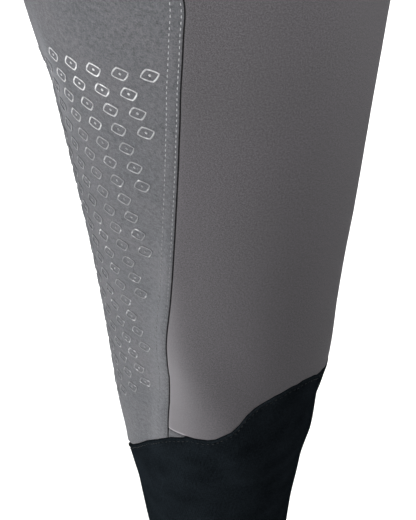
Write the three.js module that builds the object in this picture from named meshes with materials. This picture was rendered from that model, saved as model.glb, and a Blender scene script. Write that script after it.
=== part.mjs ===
// Riding breeches, worn and hollow, at real size. Millimetres, +Z up.
// The origin is the centre of the waist opening, level with the top of the waistband.
// The wearer would face -Y, so the left leg is on +X. The legs are mirror images apart from their folds.
import * as THREE from "three";

// Cloth and sewing
const SEAM_GAP = 0.3;
const SHELL_CLOTH = 1.8;
const CUFF_KNIT = 1.4;
const BAND_CLOTH = 2.4;

// Lengths down the garment, from the top of the waistband
const BAND_HEIGHT = 40;
const CROTCH_Z = -265;
const GUSSET_Z = -255;
const HEM_Z = -905;

// Fly, shield and button
const SHIELD_TOP_Z = -44;
const SHIELD_BOTTOM_Z = -178;
const SHIELD_LEFT_X = 14;
const SHIELD_RIGHT_X = -30;
const SHIELD_CLOTH = 1.5;
const SHIELD_GAP = 0.9;
const UNDERLAP_LENGTH = 34;
const UNDERLAP_STEP_LENGTH = 12;
const BUTTON_RADIUS = 8.5;
const BUTTON_THICKNESS = 3.2;
const BUTTON_X = -13;
const BUTTON_GAP = 0.45;

// Mesh fineness
const ROWS_ABOVE_CROTCH = 12;
const ROWS_BELOW_CROTCH = 28;
const ROW_CROWDING = 1.7;
const FRONT_COLUMNS = 12;
const GRIP_COLUMNS = 10;
const BACK_COLUMNS = 12;
const CUFF_ROWS = 10;
const BAND_COLUMNS = 72;
const SHIELD_STEPS = 8;
const BUTTON_STEPS = 28;
const SEARCH_STEPS = 40;
const SETTLE_STEPS = 6;
const ANGLE_NUDGE = 0.2;
const HEIGHT_NUDGE = 0.5;

// One half of the body and its leg, as level sections from the waist to the hem.
// inner and outer are the X of its two sides, front and back its Y, and wide the Y where it is widest.
// Above the crotch the section reaches past the middle of the garment, and is cut off there.
const SECTIONS = [
  { z: 0, inner: -142, outer: 142, front: -104, back: 101, wide: 0 },
  { z: -40, inner: -147, outer: 147, front: -108, back: 107, wide: 0 },
  { z: -100, inner: -163, outer: 163, front: -114, back: 121, wide: 2 },
  { z: -150, inner: -172, outer: 176, front: -117, back: 132, wide: 4 },
  { z: -195, inner: -148, outer: 185, front: -116, back: 137, wide: 5 },
  { z: -215, inner: -103, outer: 188, front: -114, back: 136, wide: 5 },
  { z: -230, inner: -58, outer: 190, front: -112, back: 133, wide: 4 },
  { z: -245, inner: -22, outer: 191, front: -109, back: 129, wide: 4 },
  { z: -255, inner: -7, outer: 191.5, front: -108, back: 125, wide: 3 },
  { z: -265, inner: 0, outer: 192, front: -106, back: 121, wide: 3 },
  { z: -300, inner: 2, outer: 192, front: -104, back: 111, wide: 1 },
  { z: -340, inner: 5, outer: 191, front: -101, back: 102, wide: -1 },
  { z: -385, inner: 8, outer: 189, front: -98, back: 94, wide: -3 },
  { z: -415, inner: 14.5, outer: 188, front: -96, back: 88, wide: -4 },
  { z: -440, inner: 22.5, outer: 187.5, front: -93, back: 83, wide: -6 },
  { z: -470, inner: 31, outer: 187, front: -90, back: 77, wide: -7 },
  { z: -530, inner: 44, outer: 186.3, front: -83, back: 67, wide: -9 },
  { z: -565, inner: 50.3, outer: 185.5, front: -77, back: 64, wide: -7 },
  { z: -600, inner: 55.5, outer: 185.5, front: -71, back: 65, wide: -3 },
  { z: -640, inner: 60.6, outer: 186.2, front: -64, back: 66, wide: 2 },
  { z: -690, inner: 67.4, outer: 182.5, front: -57, back: 63, wide: 5 },
  { z: -735, inner: 77.3, outer: 178.8, front: -50, back: 55, wide: 4 },
  { z: -770, inner: 84.8, outer: 176.4, front: -45, back: 49, wide: 2 },
  { z: -840, inner: 98, outer: 176.5, front: -38, back: 41, wide: 1 },
  { z: -905, inner: 106, outer: 178, front: -35, back: 37, wide: 1 },
];

// Where the seams run. angle goes round a leg in degrees: 0 inner side, 90 front, 180 outer side, 270 back.
const FRONT_SEAM = [
  { z: GUSSET_Z, angle: 21.5 },
  { z: -272, angle: 38 },
  { z: -300, angle: 62 },
  { z: -335, angle: 82 },
  { z: -374, angle: 90 },
  { z: -393, angle: 90 },
  { z: -415, angle: 88.6 },
  { z: -460, angle: 84.3 },
  { z: -510, angle: 79.7 },
  { z: -555, angle: 75.2 },
  { z: -588, angle: 71.8 },
  { z: -621, angle: 71 },
  { z: -658, angle: 68.4 },
  { z: -720, angle: 67 },
];
const BACK_SEAM = [
  { z: GUSSET_Z, angle: -21.5 },
  { z: -275, angle: -32 },
  { z: -300, angle: -43 },
  { z: -340, angle: -56 },
  { z: -415, angle: -66 },
  { z: -530, angle: -70 },
  { z: -720, angle: -72 },
];
const SIDE_SEAM_ANGLE = 192;

// The seam where the shell meets the knitted cuff: low on the inner side, high on the outer side.
const CUFF_SEAM = [
  { angle: 0, z: -736 },
  { angle: 28, z: -716 },
  { angle: 38, z: -706 },
  { angle: 50, z: -692 },
  { angle: 63, z: -678 },
  { angle: 77, z: -668 },
  { angle: 90, z: -664 },
  { angle: 102, z: -653 },
  { angle: 109, z: -642 },
  { angle: 122, z: -634 },
  { angle: 141, z: -633 },
  { angle: 159, z: -643 },
  { angle: 190, z: -656 },
  { angle: 225, z: -676 },
  { angle: 270, z: -710 },
  { angle: 315, z: -735 },
];

// The largest folds. tilt is the fold's lean from upright, towards the front on the inner side, in degrees.
const FOLDS = [
  { leg: "both", z: -462, angle: 8, tilt: 62, length: 70, width: 9, depth: -2.6 },
  { leg: "both", z: -446, angle: 6, tilt: 50, length: 60, width: 11, depth: 2.2 },
  { leg: "both", z: -668, angle: 158, tilt: -66, length: 78, width: 8, depth: -2.0 },
  { leg: "both", z: -690, angle: 140, tilt: -70, length: 110, width: 11, depth: 2.2 },
  { leg: "both", z: -716, angle: 120, tilt: -74, length: 100, width: 10, depth: -1.6 },
  { leg: "left", z: -545, angle: 272, tilt: 84, length: 110, width: 9, depth: -3.4 },
  { leg: "left", z: -572, angle: 262, tilt: 96, length: 90, width: 10, depth: -2.6 },
  { leg: "right", z: -540, angle: 265, tilt: 95, length: 100, width: 9, depth: -3.0 },
  { leg: "right", z: -575, angle: 278, tilt: 82, length: 95, width: 11, depth: -2.8 },
  { leg: "both", z: -293, angle: 70, tilt: 58, length: 95, width: 10, depth: -2.8 },
  { leg: "both", z: -318, angle: 74, tilt: 52, length: 70, width: 9, depth: -1.8 },
  { leg: "left", z: -286, angle: 285, tilt: -62, length: 100, width: 12, depth: -3.2 },
  { leg: "right", z: -290, angle: 280, tilt: -58, length: 92, width: 11, depth: -2.8 },
  { leg: "left", z: -842, angle: 95, tilt: 84, length: 80, width: 8, depth: -1.6 },
  { leg: "right", z: -848, angle: 110, tilt: 96, length: 84, width: 9, depth: -1.5 },
  { leg: "both", z: -870, angle: 250, tilt: 86, length: 70, width: 8, depth: -1.5 },
];

const radians = THREE.MathUtils.degToRad;
const degrees = THREE.MathUtils.radToDeg;
const lerp = THREE.MathUtils.lerp;

// A smooth curve through one column of a table whose rows are in falling order of z.
function alongTable(table, column, z) {
  const last = table.length - 1;
  if (z >= table[0].z) return table[0][column];
  if (z <= table[last].z) return table[last][column];
  let k = 0;
  while (z < table[k + 1].z) k += 1;
  const slope = (i) => {
    const before = table[Math.max(i - 1, 0)];
    const after = table[Math.min(i + 1, last)];
    return (after[column] - before[column]) / (after.z - before.z);
  };
  return hermite(table[k], table[k + 1], column, "z", slope(k), slope(k + 1), z);
}

// The cubic between two table rows, with a slope given at each.
function hermite(from, to, column, key, slopeFrom, slopeTo, at) {
  const span = to[key] - from[key];
  const t = (at - from[key]) / span;
  const t2 = t * t;
  const t3 = t2 * t;
  return (
    (2 * t3 - 3 * t2 + 1) * from[column] +
    (t3 - 2 * t2 + t) * span * slopeFrom +
    (3 * t2 - 2 * t3) * to[column] +
    (t3 - t2) * span * slopeTo
  );
}

// The height of the cuff seam at an angle round the leg: a smooth closed curve through CUFF_SEAM.
function cuffSeam(angle) {
  const turn = ((angle % 360) + 360) % 360;
  const count = CUFF_SEAM.length;
  const row = (i) => {
    const laps = Math.floor(i / count);
    const stored = CUFF_SEAM[i - laps * count];
    return { angle: stored.angle + 360 * laps, z: stored.z };
  };
  let k = 0;
  while (turn >= row(k + 1).angle) k += 1;
  const slope = (i) => (row(i + 1).z - row(i - 1).z) / (row(i + 1).angle - row(i - 1).angle);
  return hermite(row(k), row(k + 1), "z", "angle", slope(k), slope(k + 1), turn);
}

function section(z) {
  const at = (column) => alongTable(SECTIONS, column, z);
  const inner = at("inner");
  const outer = at("outer");
  const wide = at("wide");
  return {
    middle: (inner + outer) / 2,
    halfWidth: (outer - inner) / 2,
    wide,
    frontDepth: wide - at("front"),
    backDepth: at("back") - wide,
  };
}

// The angle at which a section above the crotch meets the middle of the garment.
function middleAngle(z) {
  const s = section(z);
  return degrees(Math.acos(THREE.MathUtils.clamp(s.middle / s.halfWidth, 0, 1)));
}

// The height of the crotch seam at a small angle, front or back of the inner side.
function crotchSeam(angle) {
  let low = CROTCH_Z;
  let high = GUSSET_Z + 1;
  for (let step = 0; step < SEARCH_STEPS; step += 1) {
    const z = (low + high) / 2;
    if (middleAngle(z) < Math.abs(angle)) low = z;
    else high = z;
  }
  return (low + high) / 2;
}

// How far the folds move the cloth outwards at a place on a leg.
function foldAt(leg, angle, z) {
  const s = section(z);
  const radius = (s.halfWidth + (s.frontDepth + s.backDepth) / 2) / 2;
  let moved = 0;
  for (const fold of FOLDS) {
    if (fold.leg !== "both" && fold.leg !== leg) continue;
    const turn = ((angle - fold.angle + 540) % 360) - 180;
    const round = radians(turn) * radius;
    const up = z - fold.z;
    const lean = radians(fold.tilt);
    const along = (round * Math.sin(lean) + up * Math.cos(lean)) / (fold.length / 2);
    const across = (round * Math.cos(lean) - up * Math.sin(lean)) / fold.width;
    moved += fold.depth * Math.exp(-across * across - along ** 4);
  }
  return moved;
}

function smoothPoint(angle, z) {
  const s = section(z);
  const turn = radians(angle);
  const depth = Math.sin(turn) > 0 ? s.frontDepth : s.backDepth;
  return new THREE.Vector3(s.middle - s.halfWidth * Math.cos(turn), s.wide - depth * Math.sin(turn), z);
}

// The way out of the cloth at a place on the left half.
function outwardAt(angle, z) {
  const round = smoothPoint(angle + ANGLE_NUDGE, z).sub(smoothPoint(angle - ANGLE_NUDGE, z));
  const down = smoothPoint(angle, z - HEIGHT_NUDGE).sub(smoothPoint(angle, z + HEIGHT_NUDGE));
  return down.cross(round).normalize();
}

// A point of the left half's cloth, moved inwards by depth from its outer face.
function clothPoint(leg, angle, z, depth) {
  const outward = outwardAt(angle, z);
  const point = smoothPoint(angle, z).addScaledVector(outward, foldAt(leg, angle, z) - depth);
  point.x = Math.max(point.x, SEAM_GAP / 2);
  return point;
}

// Closes a wall from its outer and inner grids of points, which run round the leg and then down it.
// Each four-sided face is split along its shorter diagonal.
function wallGeometry(outer, inner, closed) {
  const columns = outer.length;
  const rows = outer[0].length;
  const positions = [];
  for (const grid of [outer, inner]) {
    for (const column of grid) {
      for (const p of column) positions.push(p.x, p.y, p.z);
    }
  }
  const index = [];
  const at = (layer, i, j) => layer * columns * rows + (i % columns) * rows + j;
  const apart = (a, b) =>
    Math.hypot(...[0, 1, 2].map((axis) => positions[3 * a + axis] - positions[3 * b + axis]));
  const quad = (a, b, c, d) => {
    if (apart(a, c) <= apart(b, d)) index.push(a, b, c, a, c, d);
    else index.push(a, b, d, b, c, d);
  };
  const spans = closed ? columns : columns - 1;
  for (let i = 0; i < spans; i += 1) {
    for (let j = 0; j < rows - 1; j += 1) {
      quad(at(0, i, j), at(0, i, j + 1), at(0, i + 1, j + 1), at(0, i + 1, j));
      quad(at(1, i, j), at(1, i + 1, j), at(1, i + 1, j + 1), at(1, i, j + 1));
    }
    quad(at(0, i, 0), at(0, i + 1, 0), at(1, i + 1, 0), at(1, i, 0));
    quad(at(0, i, rows - 1), at(1, i, rows - 1), at(1, i + 1, rows - 1), at(0, i + 1, rows - 1));
  }
  if (!closed) {
    const end = columns - 1;
    for (let j = 0; j < rows - 1; j += 1) {
      quad(at(0, 0, j), at(1, 0, j), at(1, 0, j + 1), at(0, 0, j + 1));
      quad(at(0, end, j), at(0, end, j + 1), at(1, end, j + 1), at(1, end, j));
    }
  }
  const geometry = new THREE.BufferGeometry();
  geometry.setAttribute("position", new THREE.Float32BufferAttribute(positions, 3));
  geometry.setIndex(index);
  geometry.computeVertexNormals();
  return geometry;
}

// Half a seam gap as an angle round the leg.
function gapAngle(z) {
  const s = section(z);
  return degrees(SEAM_GAP / 2 / Math.min(s.halfWidth, s.frontDepth));
}

const frontEdge = (z) => Math.max(middleAngle(z), alongTable(FRONT_SEAM, "angle", z));
const backEdge = (z) => Math.min(-middleAngle(z), alongTable(BACK_SEAM, "angle", z));

const gripPanel = {
  columns: GRIP_COLUMNS,
  low: (z) => alongTable(BACK_SEAM, "angle", z) + gapAngle(z),
  high: (z) => alongTable(FRONT_SEAM, "angle", z) - gapAngle(z),
  heights: (angle) => [crotchSeam(angle), cuffSeam(angle) + SEAM_GAP / 2],
  rows: [ROWS_BELOW_CROTCH],
};

const frontPanel = {
  columns: FRONT_COLUMNS,
  low: (z) => frontEdge(z) + gapAngle(z),
  high: (z) => SIDE_SEAM_ANGLE - gapAngle(z),
  heights: (angle) => [-BAND_HEIGHT - SEAM_GAP, GUSSET_Z, cuffSeam(angle) + SEAM_GAP / 2],
  rows: [ROWS_ABOVE_CROTCH, ROWS_BELOW_CROTCH],
};

const backPanel = {
  columns: BACK_COLUMNS,
  low: (z) => SIDE_SEAM_ANGLE + gapAngle(z),
  high: (z) => 360 + backEdge(z) - gapAngle(z),
  heights: frontPanel.heights,
  rows: frontPanel.rows,
};

// Each column of a panel as places on the leg, from the top edge to the bottom edge.
// Its rows crowd towards the crotch, where the seams turn fastest.
function panelPlaces(panel) {
  const levels = [0];
  panel.rows.forEach((count, band) => {
    const above = band < panel.rows.length - 1;
    for (let k = 1; k <= count; k += 1) {
      const even = k / count;
      levels.push(band + (above ? 1 - (1 - even) ** ROW_CROWDING : even ** ROW_CROWDING));
    }
  });
  const places = [];
  for (let i = 0; i <= panel.columns; i += 1) {
    places.push(
      levels.map((level) => {
        let angle = lerp(panel.low(CROTCH_Z), panel.high(CROTCH_Z), i / panel.columns);
        let z = CROTCH_Z;
        for (let step = 0; step < SETTLE_STEPS; step += 1) {
          const heights = panel.heights(angle);
          const band = Math.min(Math.floor(level), heights.length - 2);
          z = lerp(heights[band], heights[band + 1], level - band);
          angle = lerp(panel.low(z), panel.high(z), i / panel.columns);
        }
        return { angle, z };
      }),
    );
  }
  return places;
}

function legWall(leg, places, thickness, closed) {
  const layer = (depth) => places.map((column) => column.map((p) => clothPoint(leg, p.angle, p.z, depth)));
  return wallGeometry(layer(0), layer(thickness), closed);
}

// The cuff takes its columns from the lower edges of the three panels, so that the two sides of the seam match.
function cuffPlaces() {
  const edge = [gripPanel, frontPanel, backPanel].flatMap((panel) =>
    panelPlaces(panel).map((column) => column[column.length - 1].angle),
  );
  return edge.map((angle) => {
    const column = [];
    for (let j = 0; j <= CUFF_ROWS; j += 1) {
      column.push({ angle, z: lerp(cuffSeam(angle) - SEAM_GAP / 2, HEM_Z, j / CUFF_ROWS) });
    }
    return column;
  });
}

// The angle round the left half at which the front of the body is x away from its middle.
function frontAngle(x, z) {
  const s = section(z);
  return degrees(Math.acos(THREE.MathUtils.clamp((s.middle - Math.abs(x)) / s.halfWidth, -1, 1)));
}

// A place on the front of the body, on either side of the middle, moved inwards by depth.
function bodyPoint(x, z, depth) {
  const angle = frontAngle(x, z);
  const point = smoothPoint(angle, z).addScaledVector(outwardAt(angle, z), -depth);
  point.x = x;
  return point;
}

// The shield behind the fly closes the opening between the two fronts.
function shieldGeometry() {
  const steps = Array.from({ length: SHIELD_STEPS + 1 }, (_, i) => i / SHIELD_STEPS);
  const layer = (depth) =>
    steps.map((across) => {
      const x = lerp(SHIELD_RIGHT_X, SHIELD_LEFT_X, across);
      return steps.map((down) => bodyPoint(x, lerp(SHIELD_TOP_Z, SHIELD_BOTTOM_Z, down), depth));
    });
  const clear = SHELL_CLOTH + SHIELD_GAP;
  return wallGeometry(layer(clear), layer(clear + SHIELD_CLOTH), false);
}

// One strip goes round the waist from the right side of the fly and passes behind its own start as the underlap.
function waistbandGeometry() {
  const frontDepth = -SECTIONS[0].front;
  const underlapTurn = degrees(UNDERLAP_LENGTH / SECTIONS[0].outer);
  const stepTurn = degrees(UNDERLAP_STEP_LENGTH / SECTIONS[0].outer);
  const startGap = degrees(SEAM_GAP / 2 / frontDepth);
  const from = -450 - underlapTurn;
  const to = -90 - startGap;
  const layer = (depth) =>
    Array.from({ length: BAND_COLUMNS + 1 }, (_, i) => {
      const turn = lerp(from, to, i / BAND_COLUMNS);
      const under = THREE.MathUtils.smoothstep(-turn, 450 - stepTurn, 450 - startGap);
      return [0, -BAND_HEIGHT / 2, -BAND_HEIGHT].map((z) => {
        const s = section(z);
        const c = Math.cos(radians(turn));
        const d = Math.sin(radians(turn));
        const reach = d < 0 ? s.frontDepth : s.backDepth;
        const outward = new THREE.Vector3(c * reach, d * s.halfWidth, 0).normalize();
        const point = new THREE.Vector3(s.halfWidth * c, s.wide + reach * d, z);
        return point.addScaledVector(outward, -depth - under * (BAND_CLOTH + SEAM_GAP));
      });
    });
  return wallGeometry(layer(0), layer(BAND_CLOTH), false);
}

// A sewn button: a dished disc with a raised rim, lying on the waistband beside the fly.
function buttonMesh() {
  const bevel = 0.8;
  const rim = 1.7;
  const dish = 0.9;
  const profile = [
    [0, 0],
    [BUTTON_RADIUS - bevel, 0],
    [BUTTON_RADIUS, bevel],
    [BUTTON_RADIUS, BUTTON_THICKNESS - bevel],
    [BUTTON_RADIUS - bevel, BUTTON_THICKNESS],
    [BUTTON_RADIUS - rim, BUTTON_THICKNESS],
    [BUTTON_RADIUS - rim - dish, BUTTON_THICKNESS - dish],
    [0, BUTTON_THICKNESS - dish],
  ].map(([radius, height]) => new THREE.Vector2(radius, height));
  const mesh = new THREE.Mesh(new THREE.LatheGeometry(profile, BUTTON_STEPS), buttonMaterial);
  const middleZ = -BAND_HEIGHT / 2;
  const outward = outwardAt(frontAngle(BUTTON_X, middleZ), middleZ);
  outward.x *= Math.sign(BUTTON_X);
  mesh.position.copy(bodyPoint(BUTTON_X, middleZ, -BUTTON_GAP));
  mesh.quaternion.setFromUnitVectors(new THREE.Vector3(0, 1, 0), outward);
  mesh.name = "button";
  return mesh;
}

const shellMaterial = new THREE.MeshStandardMaterial({ color: "#5d5a5c", roughness: 0.82, metalness: 0 });
const gripMaterial = new THREE.MeshStandardMaterial({ color: "#6a6869", roughness: 0.92, metalness: 0 });
const cuffMaterial = new THREE.MeshStandardMaterial({ color: "#101315", roughness: 0.7, metalness: 0 });
const bandMaterial = new THREE.MeshStandardMaterial({ color: "#565355", roughness: 0.82, metalness: 0 });
const buttonMaterial = new THREE.MeshStandardMaterial({ color: "#2c2b2d", roughness: 0.4, metalness: 0 });

const breeches = new THREE.Group();

function addMesh(name, geometry, material, mirrored) {
  const mesh = new THREE.Mesh(geometry, material);
  mesh.name = name;
  mesh.scale.x = mirrored ? -1 : 1;
  breeches.add(mesh);
}

for (const leg of ["left", "right"]) {
  const mirrored = leg === "right";
  const pieces = [
    ["front", panelPlaces(frontPanel), SHELL_CLOTH, false, shellMaterial],
    ["grip_panel", panelPlaces(gripPanel), SHELL_CLOTH, false, gripMaterial],
    ["back", panelPlaces(backPanel), SHELL_CLOTH, false, shellMaterial],
    ["cuff", cuffPlaces(), CUFF_KNIT, true, cuffMaterial],
  ];
  for (const [name, places, thickness, closed, material] of pieces) {
    addMesh(`${name}_${leg}`, legWall(leg, places, thickness, closed), material, mirrored);
  }
}
addMesh("waistband", waistbandGeometry(), bandMaterial, false);
addMesh("fly_shield", shieldGeometry(), shellMaterial, false);
breeches.add(buttonMesh());

export default breeches;
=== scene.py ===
"""Grey riding breeches, shaped as on a wearer and hollow, dressed over their solids.

Lengths in the tables are in millimetres, as a maker's chart would give them. The origin is the centre of
the waist opening, +Z is up, and the wearer would face -Y, so the left leg is on +X.
"""

import math

import bpy
import numpy as np
from bpy.props import FloatProperty, FloatVectorProperty, IntProperty, PointerProperty
from mathutils import Matrix, Vector


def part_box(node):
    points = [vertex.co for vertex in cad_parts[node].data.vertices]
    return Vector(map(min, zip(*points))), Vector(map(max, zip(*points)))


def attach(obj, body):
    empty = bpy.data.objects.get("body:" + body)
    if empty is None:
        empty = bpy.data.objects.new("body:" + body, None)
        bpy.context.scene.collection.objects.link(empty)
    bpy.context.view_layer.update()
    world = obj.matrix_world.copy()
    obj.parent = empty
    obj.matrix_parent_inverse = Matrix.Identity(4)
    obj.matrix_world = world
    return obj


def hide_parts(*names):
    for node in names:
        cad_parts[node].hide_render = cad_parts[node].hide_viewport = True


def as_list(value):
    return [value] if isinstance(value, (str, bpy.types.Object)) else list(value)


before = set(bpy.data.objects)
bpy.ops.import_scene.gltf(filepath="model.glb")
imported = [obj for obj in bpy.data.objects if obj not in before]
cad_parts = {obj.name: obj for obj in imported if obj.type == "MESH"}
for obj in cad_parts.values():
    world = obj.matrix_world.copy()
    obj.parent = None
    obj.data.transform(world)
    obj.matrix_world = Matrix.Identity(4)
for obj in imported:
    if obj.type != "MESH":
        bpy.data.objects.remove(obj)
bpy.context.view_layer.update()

bl_info = {
    "name": "Riding breeches",
    "version": (1, 0, 0),
    "blender": (4, 5, 0),
    "location": "3D View > Sidebar > Breeches",
    "description": "Grey riding breeches with inner-leg grip panels and black knitted cuffs",
    "category": "Mesh",
}

MM = 0.001
LEGS = ("left", "right")

# Room that a closed seam leaves between two sheets
SEAM_GAP = 0.06

# Heights down the garment
BAND_BOTTOM_Z = -40
GUSSET_Z = -255
CROTCH_Z = -265
HEM_Z = -905
SHIELD_TOP_Z = -44
SHIELD_BOTTOM_Z = -178

# Angles go round a leg in degrees: 0 inner side, 90 front, 180 outer side, 270 back.
FRONT_ANGLE = 90
SIDE_SEAM_ANGLE = 192

# One half of the body and its leg as level sections. inner and outer are the X of its two sides, front
# and back its Y, and wide the Y where it is widest. Above the crotch it is cut off at the middle.
SECTION_COLUMNS = ("z", "inner", "outer", "front", "back", "wide")
SECTIONS = (
    (0, -142, 142, -104, 101, 0),
    (-40, -147, 147, -108, 107, 0),
    (-100, -163, 163, -114, 121, 2),
    (-150, -172, 176, -117, 132, 4),
    (-195, -148, 185, -116, 137, 5),
    (-215, -103, 188, -114, 136, 5),
    (-230, -58, 190, -112, 133, 4),
    (-245, -22, 191, -109, 129, 4),
    (-255, -7, 191.5, -108, 125, 3),
    (-265, 0, 192, -106, 121, 3),
    (-300, 2, 192, -104, 111, 1),
    (-340, 5, 191, -101, 102, -1),
    (-385, 8, 189, -98, 94, -3),
    (-415, 14.5, 188, -96, 88, -4),
    (-440, 22.5, 187.5, -93, 83, -6),
    (-470, 31, 187, -90, 77, -7),
    (-530, 44, 186.3, -83, 67, -9),
    (-565, 50.3, 185.5, -77, 64, -7),
    (-600, 55.5, 185.5, -71, 65, -3),
    (-640, 60.6, 186.2, -64, 66, 2),
    (-690, 67.4, 182.5, -57, 63, 5),
    (-735, 77.3, 178.8, -50, 55, 4),
    (-770, 84.8, 176.4, -45, 49, 2),
    (-840, 98, 176.5, -38, 41, 1),
    (-905, 106, 178, -35, 37, 1),
)

# Rows of (z, angle) down each side of the grip panel
FRONT_SEAM = (
    (GUSSET_Z, 21.5), (-272, 38), (-300, 62), (-335, 82), (-374, 90), (-393, 90), (-415, 88.6),
    (-460, 84.3), (-510, 79.7), (-555, 75.2), (-588, 71.8), (-621, 71), (-658, 68.4), (-720, 67),
)
BACK_SEAM = (
    (GUSSET_Z, -21.5), (-275, -32), (-300, -43), (-340, -56), (-415, -66), (-530, -70), (-720, -72),
)

# Rows of (angle, z) round the seam between the shell and the cuff
CUFF_SEAM = (
    (0, -736), (28, -716), (38, -706), (50, -692), (63, -678), (77, -668), (90, -664), (102, -653),
    (109, -642), (122, -634), (141, -633), (159, -643), (190, -656), (225, -676), (270, -710), (315, -735),
)
# Rows of (height, waves round the leg, phase): how unevenly that seam is sewn
CUFF_SEAM_WAVES = ((0.26, 23, 0), (0.2, 41, 1), (0.14, 67, 2))

# How far the lower inner corner of a front is turned up, how wide the turned part is, and its curve
CORNER_UP, CORNER_WIDTH, CORNER_CURVE = 8.5, 12.5, 1.2

# Folds on both legs or on one, as rows of (z, angle, tilt, length, width, depth). The tilt is a fold's lean
# from upright, towards the front on the inner side, in degrees.
FOLDS = {
    "both": (
        (-466, 10, 62, 80, 9, -0.7), (-446, 14, 56, 70, 10, 0.4), (-668, 158, -66, 78, 8, -0.9),
        (-690, 140, -70, 110, 11, 1.1), (-716, 120, -74, 100, 10, -1.0), (-293, 70, 58, 95, 10, -2.8),
        (-318, 74, 52, 70, 9, -1.8), (-870, 250, 86, 70, 8, -1.5), (-650, 97, -22, 150, 15, 3.6),
        (-597, 79, 84, 20, 2.6, -0.5), (-617, 80, 88, 26, 2.8, -0.6), (-642, 80, 94, 26, 2.8, -0.6),
        (-660, 54.5, 7, 52, 5, -1.7), (-664, 62, 4, 44, 4, 0.7), (-656, 134, -62, 34, 3, -0.6),
        (-667, 138, -64, 40, 3, -0.6), (-661, 136, -63, 38, 2.4, 0.5), (-742, 45, -58, 110, 9, 0.9),
        (-752, 62, -52, 80, 6, -0.7), (-778, 70, -60, 90, 7, -0.8), (-800, 150, -58, 70, 6, -0.8),
        (-560, 276, 88, 60, 4, -1.4), (-588, 268, 92, 70, 5, 1.2), (-530, 280, 80, 60, 5, 1.2),
        (-268, 52, 50, 60, 6, -1.1), (-340, 240, -40, 60, 7, -0.8), (-306, 292, -58, 60, 6, 1.4),
        (-232, 236, -40, 80, 10, 1.0), (-215, 120, 60, 80, 9, -0.9), (-880, 60, 84, 60, 5, -0.8),
    ),
    "left": (
        (-545, 272, 84, 110, 9, -3.4), (-572, 262, 96, 90, 10, -2.6), (-286, 285, -62, 100, 12, -3.2),
        (-842, 95, 84, 80, 8, -1.6),
    ),
    "right": (
        (-540, 265, 95, 100, 9, -3.0), (-575, 278, 82, 95, 11, -2.8), (-290, 280, -58, 92, 11, -2.8),
        (-848, 110, 96, 84, 9, -1.5),
    ),
}

# Rows of (distance from the sewn edge, height of the cloth there)
TURNED_EDGE = (
    (0, -0.6), (0.25, -0.1), (0.7, 0.22), (1.6, 0.05), (2.4, 0.3),
    (5.2, 0.3), (6.2, 0.02), (7, 0.12), (10, 0),
)
PLAIN_EDGE = ((0, -0.6), (0.25, -0.15), (0.7, 0.12), (2.4, 0.25), (4.5, 0.2), (9, 0.05), (12, 0))
CROTCH_EDGE = ((0, 0.9), (0.6, 0.6), (1.8, 0.15), (4, 0.05), (9, 0))
LOWER_EDGE = ((0, -1.0), (0.4, -0.5), (1.1, -0.1), (2.4, 0.1), (5, 0.05), (9, 0))
CUFF_EDGE = (
    (0, -0.5), (0.5, 0.3), (1.3, 0.55), (2.3, 0.45), (3.2, 0), (4, -0.3), (4.8, 0.35), (5.6, 0.15), (8, 0),
)
BAND_EDGE = ((0, -0.8), (0.7, 0), (1.8, 0.2), (3, 0), (4, 0.1), (6, 0))
HEM_EDGE = ((0, -0.5), (0.6, 0.2), (2, 0.3), (9, 0.25), (10, -0.1), (11, 0.05), (13, 0))
DEEPEST_DITCH = -1.2

# Rows of (height, length, phase): the waves that a sewn seam draws into the cloth
PUCKER_WAVES = ((1, 1.35, 0), (0.7, 2.3, 1.3), (0.5, 0.83, 4))
SIDE_PUCKER, CUFF_PUCKER = 0.05, 0.10

# Steps from a sewn edge at which the mesh has a line
EDGE_STEPS = (0, 0.25, 0.55, 0.9, 1.3, 1.7, 2.2, 3, 4.2, 5.3, 5.9, 6.5, 7.2, 9, 12)
HEM_STEPS = (0, 0.5, 1.1, 2, 4, 6.5, 9, 10, 11, 13)

# The distance that a sheet without a shaded seam gives its material
FAR_FROM_SEAM = 6.0


def measure(name, default, description):
    """A size that a user may change. The default is in millimetres."""
    return FloatProperty(name=name, description=description, default=default * MM, unit="LENGTH")


class BREECHES_PG_sizes(bpy.types.PropertyGroup):
    """The sizes that a maker would change."""

    shell_cloth: measure("Shell cloth", 1.8, "Thickness of the woven shell and of the grip panels")
    cuff_cloth: measure("Cuff knit", 1.4, "Thickness of the knitted cuffs")
    band_cloth: measure("Waistband", 2.4, "Thickness of the folded waistband")
    underlap: measure("Underlap", 34, "Length of the waistband behind its own start")
    stitch_pitch: measure("Stitch pitch", 3.05, "Distance from one stitch to the next")
    needle_inset: measure("Needle inset", 1.5, "Distance from a seam to its first row of stitches")
    needle_gauge: measure("Needle gauge", 4.7, "Distance between the two rows of twin-needle stitches")
    mark_width: measure("Grip mark width", 9.6, "Width of one silicone lozenge")
    mark_height: measure("Grip mark height", 6.4, "Height of one silicone lozenge")
    mark_spacing: measure("Grip mark spacing", 14.5, "Distance between neighbouring lozenges in a row")
    mark_rows: IntProperty(
        name="Grip mark rows", description="Rows of lozenges down a leg", default=23, min=4, max=40
    )
    button_radius: measure("Button radius", 8.5, "Radius of the waist button")


def tint(name, default, description):
    """A colour of the object that a user may change."""
    return FloatVectorProperty(
        name=name, description=description, default=default, size=3, min=0, max=1, subtype="COLOR"
    )


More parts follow.
